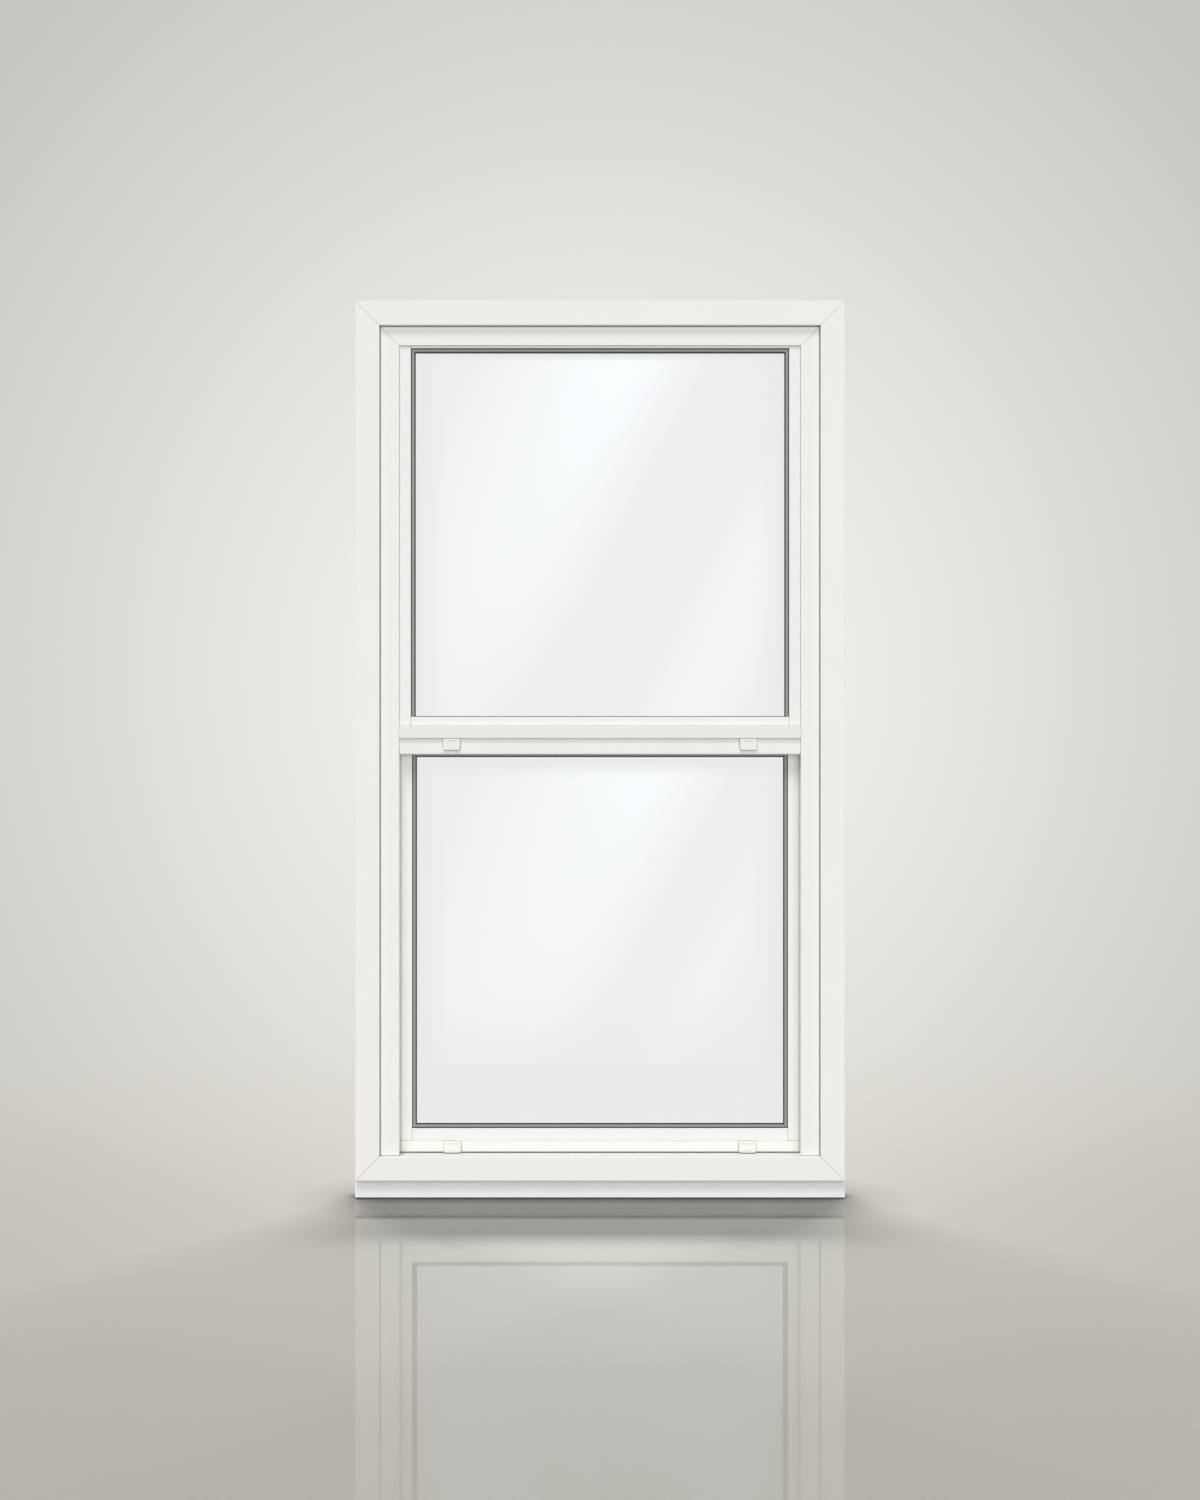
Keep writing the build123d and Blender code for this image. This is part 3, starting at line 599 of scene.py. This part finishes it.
class LatchSprings(bpy.types.Operator):
    """Make the strip springs that push the latches outwards"""

    bl_idname = "storm_window.latch_springs"
    bl_label = "Latch springs"

    def execute(self, context):
        settings = context.scene.storm_brush
        # Steel from the rolls: a darker grey with a fine, smooth gloss
        steel = bare_metal(
            "rolled_spring_steel", "#A9AAAD", grain_mm=0.5, smoothest=0.22, roughest=0.38)
        for sash in SASHES:
            for side in SIDES:
                cad = f"{sash}_{side}_spring"
                low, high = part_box(cad)
                shape = spring_ribbon(low, high, settings, side == "left")
                spring = new_piece(f"{cad}_strip", *shape, steel, f"{sash}_sash", "spring_steel")
                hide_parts(cad)
                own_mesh(spring)
        return {"FINISHED"}


class BrushPile(bpy.types.Operator):
    """Make the pile weatherstrips as rows of tufts on a backing"""

    bl_idname = "storm_window.brush_pile"
    bl_label = "Brush pile"

    def execute(self, context):
        settings = context.scene.storm_brush
        fibre = wool_pile(context.scene.storm_finish)
        dice = random.Random(TUFT_SEED)
        for sash in SASHES:
            vertices, faces = [], []
            for low, high in islands(f"{sash}_pile"):
                more, shapes = brush_strip(low, high, settings, dice)
                faces += [tuple(i + len(vertices) for i in face) for face in shapes]
                vertices += more
            brush = new_piece(f"{sash}_brush", vertices, faces, fibre, f"{sash}_sash", "wool_pile")
            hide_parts(f"{sash}_pile")
        return {"FINISHED"}


class Stage(bpy.types.Operator):
    """Set up the camera, the lamps, the floor, the backdrop and the panels"""

    bl_idname = "storm_window.stage"
    bl_label = "Stage"

    def execute(self, context):
        stage = context.scene.storm_stage
        context.scene.view_settings.view_transform = "Standard"
        self.camera(context, stage)
        self.backdrop(context, stage)
        floor = self.floor(context, stage)
        self.lamps(context, floor)
        self.softboxes(context, stage)
        return {"FINISHED"}

    def camera(self, context, stage):
        """Camera straight in front of the window."""
        lens = bpy.data.cameras.new("camera")
        lens.lens = lens.sensor_width * stage.camera_distance / stage.picture_height
        camera = bpy.data.objects.new("camera", lens)
        camera.location = (0, CAD_BOX[0].y - stage.camera_distance, stage.camera_height)
        camera.rotation_euler = (math.radians(90), 0, 0)
        context.scene.collection.objects.link(camera)
        context.scene.camera = camera

    def lamps(self, context, floor):
        """Broad soft suns on the window, and a wide wash from behind for the floor alone."""
        for name, (azimuth, elevation, energy, width) in SUNS.items():
            sun = self.lamp(context, name, "SUN", azimuth, elevation, SUN_REACH,
                            {"energy": energy, "angle": math.radians(width)})
            sun.light_linking.blocker_collection = self.link(sun, [floor], "EXCLUDE")
        wash = self.lamp(context, "wash", "AREA", *WASH_PLACE, WASH)
        self.link(wash, [floor], "INCLUDE")

    def lamp(self, context, name, kind, azimuth, elevation, reach, settings):
        """Lamp that shines on the foot of the window and that no mirror or pane shows."""
        turn, rise = math.radians(azimuth), math.radians(elevation)
        out = Vector((math.sin(turn) * math.cos(rise), -math.cos(turn) * math.cos(rise),
                      math.sin(rise)))
        light = bpy.data.lights.new(name, kind)
        for setting, value in settings.items():
            setattr(light, setting, value)
        made = bpy.data.objects.new(name, light)
        made.location = out * reach
        made.rotation_euler = out.to_track_quat("Z", "Y").to_euler()
        made.visible_transmission = made.visible_glossy = False
        context.scene.collection.objects.link(made)
        return made

    def link(self, lamp, pieces, state):
        """Let a lamp or panel light only the given pieces, or all but them."""
        lit = bpy.data.collections.new(f"{lamp.name}_receivers")
        for piece in pieces:
            lit.objects.link(piece)
        for entry in lit.collection_objects:
            entry.light_linking.link_state = state
        lamp.light_linking.receiver_collection = lit
        return lit

    def backdrop(self, context, stage):
        """Soft round glow for camera, mirror and glass, and plain soft light for the rest."""
        world = bpy.data.worlds.new("backdrop")
        context.scene.world = world
        tree = empty_tree(world)
        way = node(tree, "ShaderNodeTexCoord").outputs["Generated"]
        aside = node(tree, "ShaderNodeVectorMath", {0: way, 1: GLOW_SQUEEZE, 2: GLOW_SHIFT},
                     operation="MULTIPLY_ADD")
        away = node(tree, "ShaderNodeVectorMath", {0: aside}, operation="LENGTH")
        fall = node(tree, "ShaderNodeMapRange", {"Value": away, "From Max": GLOW_REACH})
        glow = node(tree, "ShaderNodeMix", {
            "Factor": fall, "A": (*stage.backdrop_middle, 1),
            "B": (*stage.backdrop_edge, 1)}, **BLEND)
        # Panes show the pale tone where the view goes back and not steeply down, else the glow
        path = node(tree, "ShaderNodeLightPath").outputs
        through, mirror = path["Is Transmission Ray"], path["Is Glossy Ray"]
        bearing = node(tree, "ShaderNodeSeparateXYZ", {0: way}).outputs
        rearward = node(tree, "ShaderNodeMapRange", {"Value": bearing["Y"], **REARWARD})
        level = node(tree, "ShaderNodeMapRange", {"Value": bearing["Z"], **NOT_STEEP})
        ahead = node(tree, "ShaderNodeMath", {0: rearward, 1: level}, operation="MULTIPLY")
        pale = node(tree, "ShaderNodeMath", {0: through, 1: ahead}, operation="MULTIPLY")
        view = node(tree, "ShaderNodeMix", {
            "Factor": pale, "A": glow, "B": (*stage.behind_glass, 1)}, **BLEND)
        mirrored = node(tree, "ShaderNodeMath", {0: mirror, 1: through}, operation="SUBTRACT",
                        use_clamp=True)
        strength = node(tree, "ShaderNodeMapRange", {
            "Value": mirrored, "To Min": 1, "To Max": MIRRORED_BACKDROP})
        seen = node(tree, "ShaderNodeBackground", {"Color": view, "Strength": strength})
        soft = node(tree, "ShaderNodeBackground", {
            "Color": (*stage.soft_light, 1), "Strength": AMBIENT})
        bounced = node(tree, "ShaderNodeMath", {0: mirror, 1: through}, operation="MAXIMUM")
        shown = node(tree, "ShaderNodeMath", {0: path["Is Camera Ray"], 1: bounced},
                     operation="MAXIMUM")
        both = node(tree, "ShaderNodeMixShader", {0: shown, 1: soft, 2: seen})
        node(tree, "ShaderNodeOutputWorld", {"Surface": both})

    def floor(self, context, stage):
        """Pale acrylic sheet, polished: a clear, weak mirror, with a painted contact shadow under
        the window that darkens its tone and dims its mirror.

        It lightens behind the window and fades into the backdrop.
        """
        material, tree, shader = new_material("polished_acrylic")
        place = node(tree, "ShaderNodeTexCoord").outputs["Object"]
        aside = node(tree, "ShaderNodeVectorMath", {0: place, 1: SWEEP_SQUEEZE, 2: SWEEP_SHIFT},
                     operation="MULTIPLY_ADD")
        away = node(tree, "ShaderNodeVectorMath", {0: aside}, operation="LENGTH")
        near = node(tree, "ShaderNodeMapRange", {"Value": away, **SWEEP_TO_FLOOR})
        tone = node(tree, "ShaderNodeMix", {
            "Factor": near, "A": (*stage.sweep, 1), "B": (*stage.floor, 1)}, **BLEND)
        # Painted contact shadow: the floor darkens and mirrors less close to the window's foot
        contact = node(tree, "ShaderNodeAmbientOcclusion", {"Distance": stage.contact_shade},
                       samples=CORNER_SAMPLES).outputs["AO"]
        shade = node(tree, "ShaderNodeMapRange", {"Value": contact, **CONTACT_SHADOW_TONE})
        shaded = node(tree, "ShaderNodeMix", {"Factor": 1, "A": tone, "B": shade}, **TINT)
        gloss = node(tree, "ShaderNodeMapRange", {"Value": contact, **CONTACT_SHADOW_MIRROR})
        fill(tree, shader, {
            "Base Color": shaded, "Specular IOR Level": gloss, "Roughness": 0.03, "IOR": 1.4})
        reach = node(tree, "ShaderNodeVectorMath", {0: place}, operation="LENGTH")
        depth = node(tree, "ShaderNodeSeparateXYZ", {0: place}).outputs["Y"]
        round_fade = node(tree, "ShaderNodeMapRange", {"Value": reach, **ROUND_FADE}, **SOFT_STEP)
        back_fade = node(tree, "ShaderNodeMapRange", {"Value": depth, **BACK_FADE}, **SOFT_STEP)
        fade = node(tree, "ShaderNodeMath", {0: round_fade, 1: back_fade}, operation="MAXIMUM")
        clear_by(tree, shader, fade)
        bm = bmesh.new()
        bmesh.ops.create_circle(bm, cap_ends=True, segments=FLOOR_SEGMENTS,
                                radius=stage.floor_radius)
        floor = self.staged(context, "floor", bm, material)
        floor.location.z = -FLOOR_GAP
        floor.visible_transmission = floor.visible_diffuse = floor.visible_shadow = False
        return floor

    def softboxes(self, context, stage):
        """A soft panel in front of each pane, with slanted bands, which only the panes mirror."""
        grow = 1 + stage.softbox_distance / stage.camera_distance
        for sash, light in SOFTBOXES.items():
            # Square of 1 m, scaled to be as large as its pane, seen in the mirror from the camera
            bm = bmesh.new()
            bmesh.ops.create_grid(bm, x_segments=1, y_segments=1, size=0.5)
            panel = self.staged(context, f"{sash}_softbox", bm, self.cloth(stage, **light))
            low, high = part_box(f"{sash}_glass")
            middle = (low.z + high.z) / 2
            panel.scale = ((high.x - low.x) * grow, (high.z - low.z) * grow, 1)
            panel.location = (0, -stage.softbox_distance,
                              stage.camera_height + (middle - stage.camera_height) * grow)
            panel.rotation_euler = (math.radians(90), 0, 0)
            panel.visible_camera = panel.visible_diffuse = False
            panel.visible_transmission = panel.visible_shadow = False
            self.link(panel, [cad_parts[f"{pane}_glass"] for pane in SASHES], "INCLUDE")

    def cloth(self, stage, dusk, head, bands):
        """Woven softbox cloth, lit from behind: slanted bright bands that die away at the edges."""
        material = bpy.data.materials.new("lit_cloth")
        tree = empty_tree(material)
        place = node(tree, "ShaderNodeTexCoord").outputs["Generated"]
        spread = node(tree, "ShaderNodeSeparateXYZ", {0: place}).outputs
        across, up = spread["X"], spread["Y"]
        slant = node(tree, "ShaderNodeMath", {0: up, 1: BAND_SLANT, 2: across},
                     operation="MULTIPLY_ADD")
        strength = CLOTH_GLOW
        for foot, crest, end, low, high in bands:
            rise = node(tree, "ShaderNodeMapRange", {
                "Value": slant, "From Min": foot, "From Max": crest}, **SOFT_STEP)
            drop = node(tree, "ShaderNodeMapRange", {
                "Value": slant, "From Min": crest, "From Max": end}, **SOFT_STEP)
            band = node(tree, "ShaderNodeMath", {0: rise, 1: drop}, operation="SUBTRACT")
            level = node(tree, "ShaderNodeMapRange", {"Value": up, "To Min": low, "To Max": high})
            strength = node(tree, "ShaderNodeMath", {0: band, 1: level, 2: strength},
                            operation="MULTIPLY_ADD")
        aside = node(tree, "ShaderNodeMath", {0: across, 1: MIDDLE}, operation="SUBTRACT")
        off = node(tree, "ShaderNodeMath", {0: aside}, operation="ABSOLUTE")
        sides = node(tree, "ShaderNodeMapRange", {"Value": off, **SIDE_EDGE}, **SOFT_STEP)
        top = node(tree, "ShaderNodeMapRange", {
            "Value": up, "From Max": head, **TOP_EDGE}, **SOFT_STEP)
        bottom = node(tree, "ShaderNodeMapRange", {
            "Value": up, "To Min": dusk, **BOTTOM_EDGE}, **SOFT_STEP)
        for share in (sides, top, bottom):
            strength = node(tree, "ShaderNodeMath", {0: strength, 1: share}, operation="MULTIPLY")
        light = node(tree, "ShaderNodeEmission", {
            "Color": (*stage.softbox, 1), "Strength": strength})
        # The panes' sharp mirror sees a closed panel, and softer gloss sees through it
        sharp = node(tree, "ShaderNodeLightPath").outputs["Is Singular Ray"]
        clear = node(tree, "ShaderNodeBsdfTransparent")
        open_panel = node(tree, "ShaderNodeAddShader", {0: clear, 1: light})
        panel = node(tree, "ShaderNodeMixShader", {0: sharp, 1: open_panel, 2: light})
        node(tree, "ShaderNodeOutputMaterial", {"Surface": panel})
        return material

    def staged(self, context, name, bm, material):
        """Mesh object of the stage, made from a bmesh."""
        mesh = bpy.data.meshes.new(name)
        bm.to_mesh(mesh)
        bm.free()
        mesh.materials.append(material)
        made = bpy.data.objects.new(name, mesh)
        context.scene.collection.objects.link(made)
        return made


SETTINGS = {
    "storm_finish": FinishSettings,
    "storm_brush": BrushSettings,
    "storm_stage": StageSettings,
}
OPERATORS = (FrameFinish, SashFinish, Glazing, Latches, LatchSprings, BrushPile, Stage)


class StormWindowPanel(bpy.types.Panel):
    """Settings and steps of the storm window, in order"""

    bl_idname = "VIEW3D_PT_storm_window"
    bl_label = "Storm Window"
    bl_space_type = "VIEW_3D"
    bl_region_type = "UI"
    bl_category = "Storm Window"

    def draw(self, context):
        for group, settings in SETTINGS.items():
            box = self.layout.box()
            for name in settings.__annotations__:
                box.prop(getattr(context.scene, group), name)
        for operator in OPERATORS:
            self.layout.operator(operator.bl_idname)


CLASSES = (*SETTINGS.values(), *OPERATORS, StormWindowPanel)


def register():
    """Add the settings, the operators and the panel."""
    for made in CLASSES:
        bpy.utils.register_class(made)
    for name, group in SETTINGS.items():
        setattr(bpy.types.Scene, name, bpy.props.PointerProperty(type=group))


def unregister():
    """Take away what register added."""
    for name in SETTINGS:
        delattr(bpy.types.Scene, name)
    for made in reversed(CLASSES):
        bpy.utils.unregister_class(made)


def main():
    """Dress the window and set the stage."""
    register()
    bpy.ops.storm_window.frame_finish()
    bpy.ops.storm_window.sash_finish()
    bpy.ops.storm_window.glazing()
    bpy.ops.storm_window.latches()
    bpy.ops.storm_window.latch_springs()
    bpy.ops.storm_window.brush_pile()
    bpy.ops.storm_window.stage()


if __name__ == "__main__":
    main()
